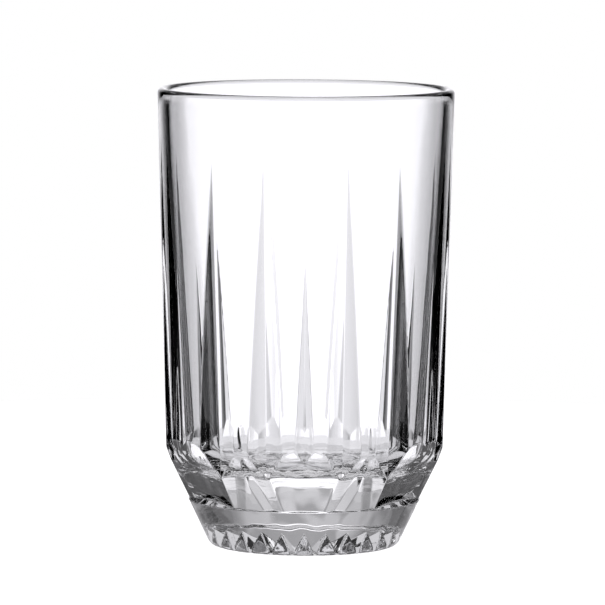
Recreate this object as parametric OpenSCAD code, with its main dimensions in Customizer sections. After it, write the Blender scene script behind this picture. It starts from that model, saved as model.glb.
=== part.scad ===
/* [Body] */
// Height from the table to the rim
height = 121; // [110:1:135]
// Outside diameter of the rim
rim_d = 78.5; // [74:0.5:84]
// Outside diameter at the shoulder, where the wall meets the lower cone
shoulder_d = 73.2; // [70:0.2:76]
// Height of the shoulder above the table
shoulder_h = 24.8; // [20:0.2:30]
// Outside diameter of the lower cone where it would meet the table
foot_d = 50; // [46:0.5:54]

/* [Inside] */
// Wall thickness at the rim
rim_wall = 2.7; // [2.2:0.1:3.5]
// Inside diameter where the wall meets the floor's round corner
bore_d = 63.4; // [58:0.2:64.5]
// Height of the drinking floor above the table
floor_h = 22; // [18:0.5:26]
// Radius of the floor's round corner
floor_r = 7; // [4:0.5:10]

/* [Spears] */
// Height of the tips of the long spears
long_tip = 106.8; // [95:0.2:110]
// Height of the tips of the deep spears
deep_tip = 103; // [90:0.5:108]
// Height of the tips of the short spears
short_tip = 74; // [60:1:85]
// Height of the tip of the slim spear in the middle of the front
slim_tip = 80; // [65:1:88]
// Height of the tip of the low spear in the middle of the back
low_tip = 58; // [45:1:70]
// Depth of a long spear's valley at the shoulder
long_depth = 1.55; // [1.2:0.01:2]
// Depth of a deep spear's valley at the shoulder
deep_depth = 1.82; // [1.2:0.01:2]
// Depth of a short spear's valley at the shoulder
short_depth = 0.78; // [0.4:0.01:1.4]
// Depth of the slim and low spears' valleys at the shoulder
slim_depth = 1.06; // [0.6:0.01:1.4]
// Slope of a long spear's flanks against the wall, in degrees
long_flank = 14.5; // [11:0.5:18]
// Slope of the deep, short and low spears' flanks against the wall, in degrees
flank = 13.5; // [11:0.5:16]
// Slope of the slim spear's flanks against the wall, in degrees
slim_flank = 20; // [16:0.5:24]

/* [Lower facets] */
// Height of the level line under the facets
level_h = 12.2; // [8:0.2:16]
// How far the level line's ledge runs inwards
ledge_run = 3.2; // [2:0.2:5]
// Depth of an inner mitre cut below the cone, at the shoulder
inner_mitre = 1; // [0.6:0.1:1.4]
// Depth of an outer mitre cut below the cone, at the shoulder
outer_mitre = 0.8; // [0.4:0.1:1.2]

/* [Star base] */
// Number of rays in the star under the base
rays = 24; // [16:4:32]
// Radius of the star's outer end
star_r = 22.3; // [19:0.1:23]
// Height of a ray's valley at its outer end
ray_h = 7.6; // [3:0.1:9]
// Height of the ridges between rays at their outer end
ridge_h = 0.4; // [0.3:0.1:1]
// Height of the star's middle
star_mid = 2.6; // [1.6:0.1:4]

/* [Hidden] */
$fn = 96;

glass = [0.9, 0.94, 0.96, 0.5];

// Azimuths in degrees, 0 towards -Y, for one side: the pattern mirrors left to right
long_at = [16.3, 77.7, 163.7];
deep_at = [38.9, 100];
short_at = [62, 120];

// Facets of the lower cone, each through three of the cone's points, in a pattern that repeats three times.
// A point is its azimuth and whether it lies on the shoulder (1) or on the level line (0).
middle_facets = [
    [[-16.3, 1], [16.3, 1], [10.7, 0]],
    [[39.4, 1], [80.6, 1], [35.4, 0]]
];
side_facets = [
    [[16.3, 1], [15.5, 0], [10.7, 0]],
    [[16.3, 1], [24.7, 1], [15.5, 0]],
    [[24.7, 1], [32.2, 0], [15.5, 0]],
    [[24.7, 1], [29.7, 1], [32.2, 0]],
    [[29.7, 1], [35.4, 0], [32.2, 0]],
    [[29.7, 1], [39.4, 1], [35.4, 0]]
];

// Slanted V cuts between the facets: the valley's azimuth and depth at the shoulder and on the level line,
// then a point of the cone on each side, where its flanks end
mitres = [
    [[24.7, inner_mitre], [14.8, 0.9 * inner_mitre], [16.3, 1], [21.3, 0]],
    [[30.5, outer_mitre], [34.5, 0.75 * outer_mitre], [24.7, 1], [39.4, 1]]
];

rim_r = rim_d / 2;
shoulder_r = shoulder_d / 2;
foot_r = foot_d / 2;
wall_slope = (rim_r - shoulder_r) / (height - shoulder_h);
cone_slope = (shoulder_r - foot_r) / shoulder_h;
level_r = foot_r + cone_slope * level_h;

// Points on a quarter or part round, from angle a0 to a1 about [x, y]
function round_pts(x, y, r, a0, a1, n = 8) =
    [for (i = [0 : n]) let (a = a0 + (a1 - a0) * i / n) [x + r * cos(a), y + r * sin(a)]];

// Outside of the glass, solid, with its rolled rim and its round foot corner
module outside() {
    lip = rim_wall / 2;
    corner = 1.7;
    cone_a = atan(cone_slope);
    corner_x = foot_r - corner * (1 - sin(cone_a)) / cos(cone_a);
    rotate_extrude()
        polygon(concat(
            [[0, 0], [corner_x, 0]],
            round_pts(corner_x, corner, corner, -90, -cone_a),
            [[shoulder_r - 0.35 * cone_slope, shoulder_h - 0.35],
             [shoulder_r + 0.35 * wall_slope, shoulder_h + 0.35]],
            round_pts(rim_r - lip, height - lip, lip, 0, 90),
            [[0, height]]
        ));
}

// Space inside the glass, with its round floor corner and the inner half of the rolled rim
module inside() {
    lip = rim_wall / 2;
    bore_r = bore_d / 2;
    corner_z = floor_h + floor_r;
    rotate_extrude()
        polygon(concat(
            [[0, floor_h]],
            round_pts(bore_r - floor_r, corner_z, floor_r, -90, 0),
            [[rim_r - rim_wall, height - lip]],
            [for (p = round_pts(rim_r - lip, height - lip, lip, 180, 90)) p],
            [[rim_r - lip, height + 5], [0, height + 5]]
        ));
}

// One V-shaped cut whose valley runs out at height tip, at azimuth a
module spear_cut(a, tip, depth, slope) {
    run = tip - shoulder_h;
    tip_r = shoulder_r + wall_slope * run;
    low_r = shoulder_r - depth;
    lean = atan((tip_r - low_r) / run);
    wide = 9;
    rotate([0, 0, a - 90])
        translate([low_r, 0, shoulder_h])
            rotate([0, lean, 0])
                translate([0, 0, -9])
                    linear_extrude(height = run / cos(lean) + 11)
                        polygon([[0, 0], [wide * tan(slope), wide], [wide * tan(slope), -wide]]);
}

module spears() {
    spear_cut(0, slim_tip, slim_depth, slim_flank);
    spear_cut(180, low_tip, slim_depth, flank);
    for (side = [-1, 1]) {
        for (a = long_at) spear_cut(side * a, long_tip, long_depth, long_flank);
        for (a = deep_at) spear_cut(side * a, deep_tip, deep_depth, flank);
        for (a = short_at) spear_cut(side * a, short_tip, short_depth, flank);
    }
}

// Place of a point of the cone, [azimuth, on shoulder], turned by turn degrees, mirrored by side, depth inside
function on_cone(p, turn, side, depth = 0) =
    let (r = (p[1] == 1 ? shoulder_r : level_r) - depth, a = turn + side * p[0])
        [r * sin(a), -r * cos(a), p[1] == 1 ? shoulder_h : level_h];

// Everything on the inner side of the plane through three points, or with out = true on its outer side
module beside(p, out = false) {
    n0 = cross(p[1] - p[0], p[2] - p[0]);
    n = n0 * sign(n0 * p[0]) / norm(n0);
    translate(p[0])
        rotate([0, acos(n[2]), atan2(n[1], n[0])])
            translate(out ? [-30, -30, 0] : [-60, -60, -90])
                cube(out ? [60, 60, 12] : [120, 120, 90]);
}

// One mitre cut, outside both of its flanks
module mitre_cut(m, turn, side) {
    top = on_cone([m[0][0], 1], turn, side, m[0][1]);
    low = on_cone([m[1][0], 0], turn, side, m[1][1]);
    intersection() {
        beside([top, low, on_cone(m[2], turn, side)], true);
        beside([top, low, on_cone(m[3], turn, side)], true);
    }
}

// Faceted core that the lower cone is cut back to
module facet_core() {
    intersection() {
        intersection_for (f = middle_facets, turn = [0, 120, 240])
            beside([for (p = f) on_cone(p, turn, 1)]);
        intersection_for (f = side_facets, turn = [0, 120, 240], side = [-1, 1])
            beside([for (p = f) on_cone(p, turn, side)]);
    }
}

// Ring round the lower cone that bounds the facets, with a small sloping ledge at the level line
module facet_zone() {
    rotate_extrude()
        polygon([
            [level_r + 0.05, level_h], [level_r - ledge_run, level_h + ledge_run / 1.8],
            [level_r - ledge_run, shoulder_h + 9], [rim_r + 2, shoulder_h + 9],
            [rim_r + 2, level_h]
        ]);
}

module facets() {
    difference() {
        facet_zone();
        facet_core();
    }
    intersection() {
        facet_zone();
        for (m = mitres, turn = [0, 120, 240], side = [-1, 1]) mitre_cut(m, turn, side);
    }
}

// Star of radial V cuts under the base, closed by a sloping ring wall
module star() {
    climb = (ray_h - star_mid) / star_r;
    half = 180 / rays;
    fall = (climb * cos(half) + (star_mid - ridge_h) / star_r) / sin(half);
    deep = 7;
    wall_lean = 3;
    intersection() {
        union() {
            for (i = [0 : rays - 1])
                rotate([0, 0, i * 360 / rays - 90])
                    translate([0, 0, star_mid])
                        rotate([90, 0, 90])
                            rotate([-atan(climb), 0, 0])
                                linear_extrude(height = star_r + 3)
                                    polygon([[0, 0], [-deep, -deep * fall], [deep, -deep * fall]]);
            translate([0, 0, -1]) cylinder(h = star_mid + 1.15, r = 1.6);
        }
        translate([0, 0, -0.6]) cylinder(h = 12, r1 = star_r + 0.5, r2 = star_r + 0.5 - 12 / wall_lean);
    }
}

module tumbler() {
    color(glass)
        difference() {
            outside();
            inside();
            spears();
            facets();
            star();
        }
}

tumbler();
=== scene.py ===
"""Water glass of clear pressed glass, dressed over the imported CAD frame."""

import logging
import math
from dataclasses import dataclass, field
from enum import Enum
from itertools import product

import bmesh
import bpy
import numpy as np
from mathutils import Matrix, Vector

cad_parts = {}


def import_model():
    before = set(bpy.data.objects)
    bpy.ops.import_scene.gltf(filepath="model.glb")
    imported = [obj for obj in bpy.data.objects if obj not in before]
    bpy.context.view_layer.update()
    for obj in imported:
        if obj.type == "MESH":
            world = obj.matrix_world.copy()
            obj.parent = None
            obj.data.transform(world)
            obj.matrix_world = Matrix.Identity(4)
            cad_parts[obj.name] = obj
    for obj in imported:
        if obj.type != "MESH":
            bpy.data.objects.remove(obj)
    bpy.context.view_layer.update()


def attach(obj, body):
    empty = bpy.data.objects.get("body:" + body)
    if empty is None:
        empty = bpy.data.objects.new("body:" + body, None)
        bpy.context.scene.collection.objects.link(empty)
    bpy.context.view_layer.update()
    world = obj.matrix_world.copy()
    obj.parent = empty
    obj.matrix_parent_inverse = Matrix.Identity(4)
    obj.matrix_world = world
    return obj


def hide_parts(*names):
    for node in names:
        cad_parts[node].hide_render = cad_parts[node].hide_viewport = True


LOG = logging.getLogger("water_glass")
MM = 0.001
FAR = 1e3  # A radius past every surface of the glass, in millimetres
LEAST_FACING = 0.2  # Least part of a plane's normal along the radius for the plane to bound the glass
TURNS = (0.0, 120.0, 240.0)  # Turns in degrees at which the pattern of the lower cone repeats
SIDES = (1.0, -1.0)  # The pattern as it is, and mirrored left to right
MIX_A, MIX_B, MIX_COLOUR = 6, 7, 2  # A Mix node's two colour inputs and its colour output

Tree = bpy.types.NodeTree
Socket = bpy.types.NodeSocket
Stops = tuple[tuple[float, float], ...]  # Azimuths in degrees, 0 behind the glass, and brightnesses


def smooth_min(a: np.ndarray, b: np.ndarray, k: float) -> np.ndarray:
    """Take the smaller of two fields, with a fillet of size k where they cross.

    Args:
        a: First field.
        b: Second field.
        k: Width of the fillet, in the field's own unit.

    Returns:
        The blended field.
    """
    h = np.clip(0.5 + 0.5 * (b - a) / k, 0.0, 1.0)
    return b * (1.0 - h) + a * h - k * h * (1.0 - h)


def smooth_max(a: np.ndarray, b: np.ndarray, k: float) -> np.ndarray:
    """Take the larger of two fields, with a fillet of size k where they cross.

    Args:
        a: First field.
        b: Second field.
        k: Width of the fillet.

    Returns:
        The blended field.
    """
    return -smooth_min(-a, -b, k)


class SpearKind(Enum):
    """Kind of V-cut spear."""

    LONG = "long"
    DEEP = "deep"
    SHORT = "short"
    SLIM = "slim"
    LOW = "low"


@dataclass(frozen=True)
class SpearShape:
    """Size of one kind of spear and where it stands, in millimetres and degrees.

    The depth is the valley's at the shoulder, and the places are azimuths, 0 towards -Y.
    """

    tip: float
    depth: float
    flank: float
    places: tuple[float, ...]


@dataclass(frozen=True)
class Facet:
    """Flat facet of the lower cone, through three of the cone's points.

    Each point is its azimuth in degrees and whether it lies on the shoulder or on the level line.
    """

    points: tuple[tuple[float, bool], ...]
    mirrored: bool = True

    def turns(self) -> list[tuple[float, float]]:
        """List the turns in degrees and the sides at which the facet repeats."""
        return list(product(TURNS, SIDES if self.mirrored else SIDES[:1]))


@dataclass(frozen=True)
class MitreCut:
    """V cut on the lower cone whose valley runs at a slant from the shoulder to the level line.

    The ends are azimuths in degrees with depths below the cone, and each ridge is a point of the cone.
    """

    top: tuple[float, float]
    low: tuple[float, float]
    ridges: tuple[tuple[float, bool], tuple[float, bool]]


@dataclass
class OuterWall:
    """Revolved outside of the glass with its spears and facets, in millimetres.

    The fillet rounds the shoulder and the ledge, the ridge the facets' edges and the ground the valleys of
    the cuts. A spear bounds the glass within spear_reach radians of its valley. The foot's corner draws in by
    corner_share of its own radius, because the cone leans.
    """

    height: float = 121.0
    rim_r: float = 39.25
    shoulder_r: float = 36.6
    shoulder_z: float = 24.8
    foot_r: float = 25.0
    foot_corner: float = 1.7
    level_z: float = 12.2
    ledge_slope: float = 1.8
    fillet: float = 0.22
    ridge: float = 0.12
    ground: float = 0.05
    spear_reach: float = 0.6
    corner_share: float = 0.63
    spears: dict[SpearKind, SpearShape] = field(default_factory=lambda: {
        SpearKind.LONG: SpearShape(106.8, 1.55, 14.5, (16.3, -16.3, 77.7, -77.7, 163.7, -163.7)),
        SpearKind.DEEP: SpearShape(103.0, 1.82, 13.5, (38.9, -38.9, 100.0, -100.0)),
        SpearKind.SHORT: SpearShape(74.0, 0.78, 13.5, (62.0, -62.0, 120.0, -120.0)),
        SpearKind.SLIM: SpearShape(80.0, 1.06, 20.0, (0.0,)),
        SpearKind.LOW: SpearShape(58.0, 1.06, 13.5, (180.0,)),
    })
    facets: tuple[Facet, ...] = (
        Facet(((-16.3, True), (16.3, True), (10.7, False)), mirrored=False),
        Facet(((39.4, True), (80.6, True), (35.4, False)), mirrored=False),
        Facet(((16.3, True), (15.5, False), (10.7, False))),
        Facet(((16.3, True), (24.7, True), (15.5, False))),
        Facet(((24.7, True), (32.2, False), (15.5, False))),
        Facet(((24.7, True), (29.7, True), (32.2, False))),
        Facet(((29.7, True), (35.4, False), (32.2, False))),
        Facet(((29.7, True), (39.4, True), (35.4, False))),
    )
    mitres: tuple[MitreCut, ...] = (
        MitreCut((24.7, 1.0), (14.8, 0.9), ((16.3, True), (21.3, False))),
        MitreCut((30.5, 0.8), (34.5, 0.6), ((24.7, True), (39.4, True))),
    )

    def wall(self, z: np.ndarray) -> np.ndarray:
        """Radius of the plain wall at height z."""
        slope = (self.rim_r - self.shoulder_r) / (self.height - self.shoulder_z)
        return self.shoulder_r + slope * (z - self.shoulder_z)

    def cone(self, z: np.ndarray) -> np.ndarray:
        """Radius of the plain lower cone at height z."""
        return self.foot_r + (self.shoulder_r - self.foot_r) * z / self.shoulder_z

    def on_cone(self, azimuth: float, on_shoulder: bool, depth: float = 0.0) -> Vector:
        """Place of a point of the cone.

        Args:
            azimuth: Azimuth in degrees.
            on_shoulder: Whether it lies on the shoulder and not on the level line.
            depth: How far it lies inside the cone.

        Returns:
            Its position in millimetres.
        """
        z = self.shoulder_z if on_shoulder else self.level_z
        r, a = float(self.cone(np.asarray(z))) - depth, math.radians(azimuth)
        return Vector((r * math.sin(a), -r * math.cos(a), z))

    @staticmethod
    def plane_radius(points: tuple[Vector, Vector, Vector], theta: np.ndarray, z: np.ndarray) -> np.ndarray:
        """Radius at which each direction meets the plane through three points.

        Args:
            points: The three points.
            theta: Azimuths in radians.
            z: Heights, of the same shape.

        Returns:
            Radii in millimetres, large where the plane faces away.
        """
        a, b, c = points
        normal = (b - a).cross(c - a).normalized()
        if normal.dot(a) < 0:
            normal.negate()
        facing = normal.x * np.sin(theta) - normal.y * np.cos(theta)
        reach = (normal.dot(a) - normal.z * z) / np.maximum(facing, LEAST_FACING)
        return np.where(facing > LEAST_FACING, reach, FAR)

    def facet_radius(self, theta: np.ndarray, z: np.ndarray) -> np.ndarray:
        """Radius of the faceted core of the lower cone, with its mitre cuts.

        Args:
            theta: Azimuths in radians.
            z: Heights, of the same shape.

        Returns:
            Radii in millimetres.
        """
        flats = np.full_like(z, FAR)
        for facet in self.facets:
            for turn, side in facet.turns():
                a, b, c = (self.on_cone(turn + side * angle, high) for angle, high in facet.points)
                flats = smooth_min(flats, self.plane_radius((a, b, c), theta, z), self.ridge)
        for cut in self.mitres:
            for turn, side in product(TURNS, SIDES):
                top = self.on_cone(turn + side * cut.top[0], True, cut.top[1])
                low = self.on_cone(turn + side * cut.low[0], False, cut.low[1])
                one, two = (self.on_cone(turn + side * angle, high) for angle, high in cut.ridges)
                groove = smooth_max(self.plane_radius((top, low, one), theta, z),
                                    self.plane_radius((top, low, two), theta, z), self.ground)
                flats = smooth_min(flats, groove, self.ridge)
        return flats

    def radius(self, theta: np.ndarray, z: np.ndarray) -> np.ndarray:
        """Radius of the finished outside.

        Args:
            theta: Azimuths in radians, 0 towards -Y.
            z: Heights, of the same shape.

        Returns:
            Radii in millimetres.
        """
        r = smooth_min(self.wall(z), self.cone(z), self.fillet * 2)
        ledge = self.cone(np.asarray(self.level_z)) - (z - self.level_z) * self.ledge_slope
        r = smooth_min(r, smooth_max(self.facet_radius(theta, z), ledge, self.fillet), self.ridge)
        for shape in self.spears.values():
            valley = self.wall(z) - shape.depth * (shape.tip - z) / (shape.tip - self.shoulder_z)
            for place in shape.places:
                r = smooth_min(r, self.vee(theta, valley, math.radians(place), shape.flank), self.ground)
        return self.foot(r, z)

    def vee(self, theta: np.ndarray, valley: np.ndarray, place: float, flank: float) -> np.ndarray:
        """Radius of the two flat flanks of a V cut.

        Args:
            theta: Azimuths in radians.
            valley: Radius of the valley line at each point.
            place: Azimuth of the valley in radians.
            flank: Slope of the flanks against the wall in degrees.

        Returns:
            Radii, large where the cut doesn't reach.
        """
        apart = (theta - place + math.pi) % (2 * math.pi) - math.pi
        facing = np.cos(apart) - np.abs(np.sin(apart)) * math.tan(math.radians(flank))
        return np.where(np.abs(apart) < self.spear_reach, valley / np.maximum(facing, LEAST_FACING), FAR)

    def foot(self, r: np.ndarray, z: np.ndarray) -> np.ndarray:
        """Round the foot's corner.

        Args:
            r: Radii before rounding.
            z: Heights.

        Returns:
            Radii with the corner rounded.
        """
        drop = np.clip(self.foot_corner - z, 0.0, self.foot_corner)
        inset = self.foot_corner - np.sqrt(np.maximum(self.foot_corner ** 2 - drop ** 2, 0.0))
        return r - inset * self.corner_share


@dataclass
class StarBase:
    """Star of radial V cuts under the base, in millimetres."""

    rays: int = 24
    outer_r: float = 22.3
    valley_z: float = 7.6
    ridge_z: float = 0.4
    middle_z: float = 2.6
    wall_slope: float = 3.0
    wall_gap: float = 0.3
    fillet: float = 0.15

    def underside(self, r: np.ndarray, theta: np.ndarray) -> np.ndarray:
        """Height of the underside.

        Args:
            r: Radii.
            theta: Azimuths in radians.

        Returns:
            Heights above the table.
        """
        pitch = 2 * math.pi / self.rays
        apart = np.abs((theta + pitch / 2) % pitch - pitch / 2)
        climb = (self.valley_z - self.middle_z) / self.outer_r
        half = pitch / 2
        fall = (climb * math.cos(half) + (self.middle_z - self.ridge_z) / self.outer_r) / math.sin(half)
        z = self.middle_z + climb * r * np.cos(apart) - fall * r * np.sin(apart)
        side = (self.outer_r + self.wall_gap - r) * self.wall_slope
        return np.maximum(0.0, smooth_min(z, side, self.fillet))


@dataclass
class Bore:
    """Inside of the glass and its rolled rim, in millimetres.

    The last ring of the mesh, of radius middle_r, closes on the middle of the floor.
    """

    rim_wall: float = 2.7
    low_r: float = 31.7
    floor_z: float = 22.0
    corner: float = 7.0
    middle_r: float = 0.6
    round_points: int = 17
    wall_points: int = 41
    floor_points: int = 14

    def profile(self, rim_r: float, height: float) -> list[tuple[float, float]]:
        """Section from the outside of the rim to the middle of the floor.

        Args:
            rim_r: Outside radius of the rim.
            height: Height of the rim.

        Returns:
            Radius and height pairs.
        """
        lip = self.rim_wall / 2
        points = [(rim_r - lip + lip * math.cos(a), height - lip + lip * math.sin(a))
                  for a in np.linspace(0, math.pi, self.round_points)]
        corner_z = self.floor_z + self.corner
        top_r = rim_r - self.rim_wall
        for t in np.linspace(0, 1, self.wall_points)[1:]:
            points.append((top_r + (self.low_r - top_r) * t, height - lip + (corner_z - height + lip) * t))
        for a in np.linspace(0, math.pi / 2, self.round_points)[1:]:
            points.append((self.low_r - self.corner + self.corner * math.cos(a),
                           corner_z - self.corner * math.sin(a)))
        for r in np.linspace(self.low_r - self.corner, self.middle_r, self.floor_points)[1:]:
            points.append((r, self.floor_z))
        return points


@dataclass(frozen=True)
class GlassEffects:
    """Shader node groups for what a mould and use leave on pressed glass."""

    wave_scale: float = 95.0
    wave_stretch: float = 0.3
    base_z: tuple[float, float] = (0.034, 0.022)
    wall_share: float = 0.05
    wave_detail: float = 1.5
    wear_z: tuple[float, float] = (0.0009, 0.00018)
    wear_roughness: float = 0.32
    wear_scale: float = 900.0
    wear_detail: float = 4.0
    wear_range: tuple[float, float] = (0.42, 0.62)
    tint_scale: float = 28.0
    tint_stretch: float = 0.6
    tint_detail: float = 2.0

    @staticmethod
    def group(name: str, kind: str, label: str) -> tuple[Tree, bpy.types.Node]:
        """Start a node group with one output.

        Args:
            name: Name of the group.
            kind: Socket type of the output.
            label: Name of the output.

        Returns:
            The group and its output node.
        """
        tree = bpy.data.node_groups.new(name, "ShaderNodeTree")
        tree.interface.new_socket(name=label, in_out="OUTPUT", socket_type=kind)
        return tree, tree.nodes.new("NodeGroupOutput")

    @staticmethod
    def height(tree: Tree, low: float, high: float) -> Socket:
        """Add a mask by height above the table.

        Args:
            tree: Tree to add to.
            low: Height in metres where the mask is 0.
            high: Height in metres where it is 1.

        Returns:
            The mask.
        """
        coord, split = tree.nodes.new("ShaderNodeTexCoord"), tree.nodes.new("ShaderNodeSeparateXYZ")
        mask = tree.nodes.new("ShaderNodeMapRange")
        tree.links.new(coord.outputs["Object"], split.inputs[0])
        tree.links.new(split.outputs["Z"], mask.inputs["Value"])
        mask.interpolation_type = "SMOOTHSTEP"
        mask.inputs["From Min"].default_value, mask.inputs["From Max"].default_value = low, high
        return mask.outputs["Result"]

    @staticmethod
    def noise(tree: Tree, scale: float, stretch: float, detail: float) -> Socket:
        """Add noise over the object, stretched along its height.

        Args:
            tree: Tree to add to.
            scale: Noise scale per metre.
            stretch: Scale along the height, as a share of the rest.
            detail: Octaves.

        Returns:
            The noise value.
        """
        coord, mapping = tree.nodes.new("ShaderNodeTexCoord"), tree.nodes.new("ShaderNodeMapping")
        noise = tree.nodes.new("ShaderNodeTexNoise")
        mapping.inputs["Scale"].default_value = (1.0, 1.0, stretch)
        noise.inputs["Scale"].default_value = scale
        noise.inputs["Detail"].default_value = detail
        tree.links.new(coord.outputs["Object"], mapping.inputs["Vector"])
        tree.links.new(mapping.outputs["Vector"], noise.inputs["Vector"])
        return noise.outputs["Fac"]

    def mould_waviness(self) -> Tree:
        """Build the slow waves that a cooling mould leaves, strongest on the thick base.

        Returns:
            The group, which puts out a height.
        """
        tree, out = self.group("mould_waviness", "NodeSocketFloat", "Height")
        share, wave = tree.nodes.new("ShaderNodeMapRange"), tree.nodes.new("ShaderNodeMath")
        tree.links.new(self.height(tree, *self.base_z), share.inputs["Value"])
        share.inputs["To Min"].default_value = self.wall_share
        wave.operation = "MULTIPLY"
        waves = self.noise(tree, self.wave_scale, self.wave_stretch, self.wave_detail)
        tree.links.new(waves, wave.inputs[0])
        tree.links.new(share.outputs["Result"], wave.inputs[1])
        tree.links.new(wave.outputs[0], out.inputs["Height"])
        return tree

    def foot_wear(self) -> Tree:
        """Build the fine scuffs on the ring that rubs on the table.

        Returns:
            The group, which puts out a roughness.
        """
        tree, out = self.group("foot_wear", "NodeSocketFloat", "Roughness")
        scuff, wear = tree.nodes.new("ShaderNodeMapRange"), tree.nodes.new("ShaderNodeMath")
        tree.links.new(self.noise(tree, self.wear_scale, 1.0, self.wear_detail), scuff.inputs["Value"])
        scuff.inputs["From Min"].default_value, scuff.inputs["From Max"].default_value = self.wear_range
        scuff.inputs["To Max"].default_value = self.wear_roughness
        wear.operation = "MULTIPLY"
        tree.links.new(scuff.outputs["Result"], wear.inputs[0])
        tree.links.new(self.height(tree, *self.wear_z), wear.inputs[1])
        tree.links.new(wear.outputs[0], out.inputs["Roughness"])
        return tree

    def batch_tint(self, clear: tuple[float, ...], deep: tuple[float, ...]) -> Tree:
        """Build the faint drift of the melt's tint through the body.

        Args:
            clear: Clearest tint.
            deep: Deepest tint.

        Returns:
            The group, which puts out a colour.
        """
        tree, out = self.group("batch_tint", "NodeSocketColor", "Color")
        mix = tree.nodes.new("ShaderNodeMix")
        mix.data_type = "RGBA"
        tree.links.new(self.noise(tree, self.tint_scale, self.tint_stretch, self.tint_detail), mix.inputs[0])
        mix.inputs[MIX_A].default_value, mix.inputs[MIX_B].default_value = clear, deep
        tree.links.new(mix.outputs[MIX_COLOUR], out.inputs["Color"])
        return tree


@dataclass(frozen=True)
class ClearGlass:
    """Clear fire-polished soda-lime glass."""

    slot: str = "clear_glass"
    clear: tuple[float, float, float, float] = (0.988, 0.988, 0.992, 1.0)
    deep: tuple[float, float, float, float] = (0.98, 0.982, 0.99, 1.0)
    ior: float = 1.52
    wave_depth: float = 0.0008
    effects: GlassEffects = GlassEffects()

    def material(self) -> bpy.types.Material:
        """Build the material.

        Returns:
            The glass, with a slight mould waviness, a faint tint and a worn foot ring.
        """
        mat = bpy.data.materials.new("clear_glass_polished")
        mat.use_nodes = True
        tree = mat.node_tree
        shader = tree.nodes["Principled BSDF"]
        shader.inputs["IOR"].default_value = self.ior
        shader.inputs["Transmission Weight"].default_value = 1.0
        waves, wear, tint = (tree.nodes.new("ShaderNodeGroup") for _ in range(3))
        waves.node_tree = self.effects.mould_waviness()
        wear.node_tree = self.effects.foot_wear()
        tint.node_tree = self.effects.batch_tint(self.clear, self.deep)
        bump = tree.nodes.new("ShaderNodeBump")
        bump.inputs["Strength"].default_value = 1.0
        bump.inputs["Distance"].default_value = self.wave_depth
        tree.links.new(waves.outputs["Height"], bump.inputs["Height"])
        tree.links.new(bump.outputs["Normal"], shader.inputs["Normal"])
        tree.links.new(wear.outputs["Roughness"], shader.inputs["Roughness"])
        tree.links.new(tint.outputs["Color"], shader.inputs["Base Color"])
        return mat


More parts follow.
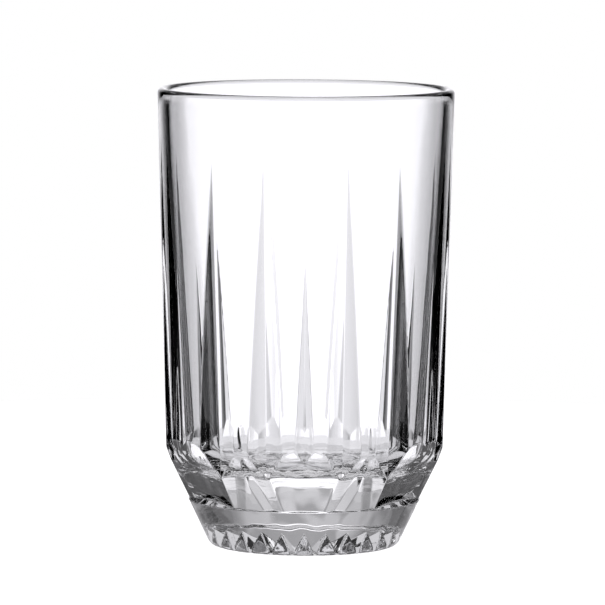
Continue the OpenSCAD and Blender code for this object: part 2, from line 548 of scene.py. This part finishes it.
@dataclass
class Tumbler:
    """The whole glass, one piece.

    The mesh has even columns, with fine steps in degrees beside each spear's valley. Its wall rings lie
    closer over the foot's corner and the facets: each entry is the height in millimetres where a zone ends,
    and its rings.
    """

    outer: OuterWall = field(default_factory=OuterWall)
    star: StarBase = field(default_factory=StarBase)
    bore: Bore = field(default_factory=Bore)
    finish: ClearGlass = field(default_factory=ClearGlass)
    columns: int = 720
    fine_steps: tuple[float, ...] = (0.0, 0.07, 0.15, 0.24, 0.34, 0.46, 0.6, 0.78)
    least_step: float = 0.045
    base_rings: int = 64
    wall_rings: tuple[tuple[float, int], ...] = (
        (0.0, 0), (2.0, 9), (11.8, 12), (14.4, 16), (23.5, 30), (31.0, 32), (108.0, 74))
    top_rings: int = 5

    def azimuths(self) -> np.ndarray:
        """Lay out the columns, evenly round the glass and finer along each spear's valley.

        Returns:
            Azimuths in radians, rising from 0.
        """
        even = np.arange(self.columns) * 360.0 / self.columns
        fine = [(place + side * step) % 360.0 for shape in self.outer.spears.values()
                for place in shape.places for step in self.fine_steps for side in SIDES]
        angles = np.unique(np.round(np.concatenate([even, fine]), 4))
        keep = np.diff(np.append(angles, angles[0] + 360.0)) > self.least_step
        return np.radians(angles[keep])

    def rings(self, theta: np.ndarray) -> tuple[np.ndarray, np.ndarray]:
        """Lay out every ring of the mesh, from the middle of the base round to the floor.

        Args:
            theta: Azimuths of the columns in radians.

        Returns:
            Radii and heights, one row per ring and one column per azimuth.
        """
        columns = len(theta)
        radii: list[np.ndarray] = []
        heights: list[np.ndarray] = []
        contact = self.outer.foot(self.outer.cone(np.zeros(1)), np.zeros(1))[0]
        for r in np.linspace(self.bore.middle_r, contact, self.base_rings):
            radii.append(np.full(columns, r))
            heights.append(self.star.underside(np.full(columns, r), theta))
        lip_z = self.outer.height - self.bore.rim_wall / 2
        zones = [*self.wall_rings, (lip_z, self.top_rings)]
        for (low, _), (high, count) in zip(zones, zones[1:]):
            for z in np.linspace(low, high, count)[1:]:
                ring = np.full(columns, z)
                radii.append(self.outer.radius(theta, ring))
                heights.append(ring)
        rim = float(self.outer.wall(np.asarray(lip_z)))
        for r, z in self.bore.profile(rim, self.outer.height)[1:]:
            radii.append(np.full(columns, r))
            heights.append(np.full(columns, z))
        return np.array(radii), np.array(heights)

    @staticmethod
    def faces(rings: int, columns: int) -> list[tuple[int, ...]]:
        """Join the rings with quads, and close both ends with a fan round a middle point.

        Args:
            rings: Number of rings.
            columns: Number of points in each ring. The two middle points follow after all the rings.

        Returns:
            Faces as the numbers of their points.
        """
        ring = (np.arange(rings - 1) * columns)[:, None]
        here = np.arange(columns)[None, :]
        beside = (here + 1) % columns
        above = ring + columns
        quads = np.stack([ring + here, ring + beside, above + beside, above + here], -1).reshape(-1, 4)
        last = (rings - 1) * columns
        low = np.stack([np.full(columns, rings * columns), beside[0], here[0]], -1)
        top = np.stack([np.full(columns, rings * columns + 1), last + here[0], last + beside[0]], -1)
        return [tuple(int(i) for i in face) for face in (*quads, *low, *top)]

    def build(self) -> bpy.types.Object:
        """Build the glass as one closed mesh.

        Returns:
            The object, with its material.
        """
        theta = self.azimuths()
        radii, heights = self.rings(theta)
        xyz = np.stack([radii * np.sin(theta), -radii * np.cos(theta), heights], -1).reshape(-1, 3)
        middles = [[0, 0, float(heights[0].mean())], [0, 0, float(heights[-1, 0])]]
        xyz = np.vstack([xyz, middles]) * MM
        faces = self.faces(*radii.shape)
        mesh = bpy.data.meshes.new("tumbler_glass")
        mesh.from_pydata([tuple(point) for point in xyz], [], faces)
        mesh.polygons.foreach_set("use_smooth", np.ones(len(faces), dtype=bool))
        bm = bmesh.new()
        bm.from_mesh(mesh)
        bmesh.ops.recalc_face_normals(bm, faces=bm.faces)
        if bm.calc_volume(signed=True) < 0:
            bmesh.ops.reverse_faces(bm, faces=bm.faces)
        LOG.info("glass volume %.1f ml", bm.calc_volume() * 1e6)
        bm.to_mesh(mesh)
        bm.free()
        piece = bpy.data.objects.new("tumbler_glass", mesh)
        bpy.context.scene.collection.objects.link(piece)
        mesh.materials.append(self.finish.material())
        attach(piece, "root")
        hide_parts("tumbler")
        LOG.info("tumbler: %d faces", len(faces))
        return piece


@dataclass(frozen=True)
class Glow:
    """Zone of light above or below the glass.

    It grows from start to full, each an upward part of the direction that the light comes from.
    """

    start: float
    full: float
    stops: Stops


@dataclass(frozen=True)
class PaleTable:
    """Pale table top that only the camera sees, so that the field lights the glass past it."""

    colour: tuple[float, float, float, float] = (0.8, 0.8, 0.8, 1.0)
    roughness: float = 0.6
    specular: float = 0.2
    glow: float = 1.0

    def material(self) -> bpy.types.Material:
        """Build the material.

        Returns:
            The table's finish, clear to every ray but the camera's.
        """
        mat = bpy.data.materials.new("pale_table")
        mat.use_nodes = True
        tree = mat.node_tree
        shader = tree.nodes["Principled BSDF"]
        shader.inputs["Base Color"].default_value = self.colour
        shader.inputs["Roughness"].default_value = self.roughness
        shader.inputs["Specular IOR Level"].default_value = self.specular
        shader.inputs["Emission Color"].default_value = (1.0, 1.0, 1.0, 1.0)
        shader.inputs["Emission Strength"].default_value = self.glow
        add, link = tree.nodes.new, tree.links.new
        path, through = add("ShaderNodeLightPath"), add("ShaderNodeBsdfTransparent")
        mix = add("ShaderNodeMixShader")
        link(path.outputs["Is Camera Ray"], mix.inputs[0])
        link(through.outputs[0], mix.inputs[1])
        link(shader.outputs[0], mix.inputs[2])
        link(mix.outputs[0], tree.nodes["Material Output"].inputs["Surface"])
        return mat


@dataclass(frozen=True)
class Studio:
    """Bright-field studio: a lit field behind the glass that falls to dark at its sides.

    The glows then lay darker and brighter zones over it, each in place of what is further from level.
    """

    stops: Stops = (
        (0, 1.3), (8.3, 1.3), (10, 1.0), (12, 0.9), (15, 0.82), (18, 0.7), (21, 0.48), (24, 0.2), (27, 0.04),
        (30, 0.0), (70, 0.0), (82, 0.08), (98, 0.08), (112, 0.02), (135, 0.1), (155, 0.8), (180, 0.9))
    cast: tuple[float, float, float] = (1.0, 0.99, 1.025)
    background: float = 1.0
    glows: tuple[Glow, ...] = (
        Glow(0.22, 0.28, ((0, 0.65), (15, 0.5), (28, 0.14), (50, 0.06), (65, 0.0), (180, 0.0))),
        Glow(0.37, 0.39, ((0, 0.37), (24, 0.31), (30, 1.1), (44, 1.1), (50, 0.05), (180, 0.0))),
        Glow(0.43, 0.45, (
            (0, 0.6), (20, 0.5), (30, 0.2), (42, 0.25), (48, 0.9), (62, 0.9), (68, 0.0), (180, 0.0))),
        Glow(0.54, 0.57, (
            (0, 0.2), (13, 0.3), (17, 1.3), (26, 1.3), (32, 0.12), (88, 0.18), (96, 0.01), (180, 0.01))),
        Glow(-0.19, -0.245, ((0, 0.95), (28, 0.75), (45, 0.65), (90, 0.6), (180, 0.95))),
        Glow(-0.43, -0.48, ((0, 0.75), (28, 0.6), (180, 0.7))),
    )
    floor_r: float = 0.34
    floor_z: float = -0.0002
    floor_points: int = 128
    table: PaleTable = PaleTable()
    softbox_place: tuple[float, float, float] = (0.0, -0.1, 1.3)
    softbox_size: tuple[float, float] = (0.8, 0.8)
    softbox_watts: float = 1.5
    aim_z: float = 0.06

    def ramp(self, tree: Tree, stops: Stops) -> Socket:
        """Add nodes for light by the azimuth round the glass, 0 behind it.

        Args:
            tree: Tree to add to.
            stops: Where the light changes, and how bright it is there.

        Returns:
            The light's colour.
        """
        add, link = tree.nodes.new, tree.links.new
        coord, split = add("ShaderNodeTexCoord"), add("ShaderNodeSeparateXYZ")
        link(coord.outputs["Generated"], split.inputs[0])
        azimuth, size, turn = add("ShaderNodeMath"), add("ShaderNodeMath"), add("ShaderNodeMath")
        azimuth.operation, size.operation, turn.operation = "ARCTAN2", "ABSOLUTE", "DIVIDE"
        link(split.outputs["X"], azimuth.inputs[0])
        link(split.outputs["Y"], azimuth.inputs[1])
        link(azimuth.outputs[0], size.inputs[0])
        link(size.outputs[0], turn.inputs[0])
        turn.inputs[1].default_value = math.pi
        ramp = add("ShaderNodeValToRGB")
        link(turn.outputs[0], ramp.inputs["Fac"])
        band = ramp.color_ramp.elements
        band.remove(band[1])
        for i, (angle, value) in enumerate(stops):
            stop = band[0] if i == 0 else band.new(angle / 180.0)
            stop.position = angle / 180.0
            stop.color = (value * self.cast[0], value * self.cast[1], value * self.cast[2], 1.0)
        return ramp.outputs["Color"]

    def blend(self, tree: Tree, colour: Socket, glow: Glow) -> Socket:
        """Blend the field into the glow above or below the glass.

        Args:
            tree: Tree to add to.
            colour: Field to blend from.
            glow: Where and how bright the glow is.

        Returns:
            The blended colour.
        """
        add, link = tree.nodes.new, tree.links.new
        coord, split = add("ShaderNodeTexCoord"), add("ShaderNodeSeparateXYZ")
        mask = add("ShaderNodeMapRange")
        link(coord.outputs["Generated"], split.inputs[0])
        link(split.outputs["Z"], mask.inputs["Value"])
        mask.interpolation_type = "SMOOTHSTEP"
        mask.inputs["From Min"].default_value = glow.start
        mask.inputs["From Max"].default_value = glow.full
        mix = add("ShaderNodeMix")
        mix.data_type = "RGBA"
        link(mask.outputs["Result"], mix.inputs[0])
        link(colour, mix.inputs[MIX_A])
        link(self.ramp(tree, glow.stops), mix.inputs[MIX_B])
        return mix.outputs[MIX_COLOUR]

    def world(self) -> None:
        """Build the world: plain white to the camera, the lit field and its dark sides to the glass."""
        world = bpy.data.worlds.new("studio_field")
        bpy.context.scene.world = world
        world.use_nodes = True
        tree = world.node_tree
        tree.nodes.clear()
        add, link = tree.nodes.new, tree.links.new
        out = add("ShaderNodeOutputWorld")
        field_light, plain = add("ShaderNodeBackground"), add("ShaderNodeBackground")
        colour = self.ramp(tree, self.stops)
        for glow in self.glows:
            colour = self.blend(tree, colour, glow)
        link(colour, field_light.inputs["Color"])
        plain.inputs["Color"].default_value = (1.0, 1.0, 1.0, 1.0)
        plain.inputs["Strength"].default_value = self.background
        path, mix = add("ShaderNodeLightPath"), add("ShaderNodeMixShader")
        link(path.outputs["Is Camera Ray"], mix.inputs[0])
        link(field_light.outputs[0], mix.inputs[1])
        link(plain.outputs[0], mix.inputs[2])
        link(mix.outputs[0], out.inputs["Surface"])

    def floor(self) -> None:
        """Lay the floor, a pale round table just under the foot."""
        mesh = bpy.data.meshes.new("studio_floor")
        bm = bmesh.new()
        bmesh.ops.create_circle(bm, cap_ends=True, segments=self.floor_points, radius=self.floor_r)
        bm.to_mesh(mesh)
        bm.free()
        disc = bpy.data.objects.new("studio_floor", mesh)
        disc.location.z = self.floor_z
        bpy.context.scene.collection.objects.link(disc)
        mesh.materials.append(self.table.material())

    def softbox(self) -> None:
        """Hang the softbox that faces the glass from above."""
        light = bpy.data.lights.new("overhead_softbox", "AREA")
        light.shape = "RECTANGLE"
        light.size, light.size_y = self.softbox_size
        light.energy = self.softbox_watts
        lamp = bpy.data.objects.new("overhead_softbox", light)
        lamp.location = self.softbox_place
        aim = Vector((0, 0, self.aim_z)) - Vector(self.softbox_place)
        lamp.rotation_euler = aim.to_track_quat("-Z", "Y").to_euler()
        bpy.context.scene.collection.objects.link(lamp)

    def build(self) -> None:
        """Build the world, the floor and the softbox."""
        self.world()
        self.floor()
        self.softbox()
        LOG.info("studio built")


@dataclass(frozen=True)
class PhotoCamera:
    """Camera at the photograph's place, in metres.

    Lens and sensor are in millimetres, the shift in widths of the picture and the roll in degrees.
    """

    place: tuple[float, float, float] = (0.0, -1.54, 0.214)
    target: tuple[float, float, float] = (0.0, 0.0, 0.0636)
    lens: float = 348.4
    shift: tuple[float, float] = (-0.0043, 0.0036)
    roll: float = 0.29
    sensor: float = 36.0
    reach: float = 20.0

    def build(self) -> None:
        """Place the camera and make it the scene's own."""
        data = bpy.data.cameras.new("photo_camera")
        data.lens, data.sensor_width = self.lens, self.sensor
        data.shift_x, data.shift_y = self.shift
        data.clip_end = self.reach
        cam = bpy.data.objects.new("photo_camera", data)
        cam.location = self.place
        look = (Vector(self.target) - Vector(self.place)).to_track_quat("-Z", "Y")
        cam.rotation_euler = look.to_euler()
        cam.rotation_euler.rotate_axis("Z", math.radians(self.roll))
        bpy.context.scene.collection.objects.link(cam)
        bpy.context.scene.camera = cam


def main() -> None:
    """Load the frame, build the glass, the studio and the camera."""
    logging.basicConfig(level=logging.INFO, format="%(name)s %(message)s")
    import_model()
    bpy.context.scene.view_settings.view_transform = "Standard"
    PhotoCamera().build()
    Studio().build()
    Tumbler().build()


if __name__ == "__main__":
    main()
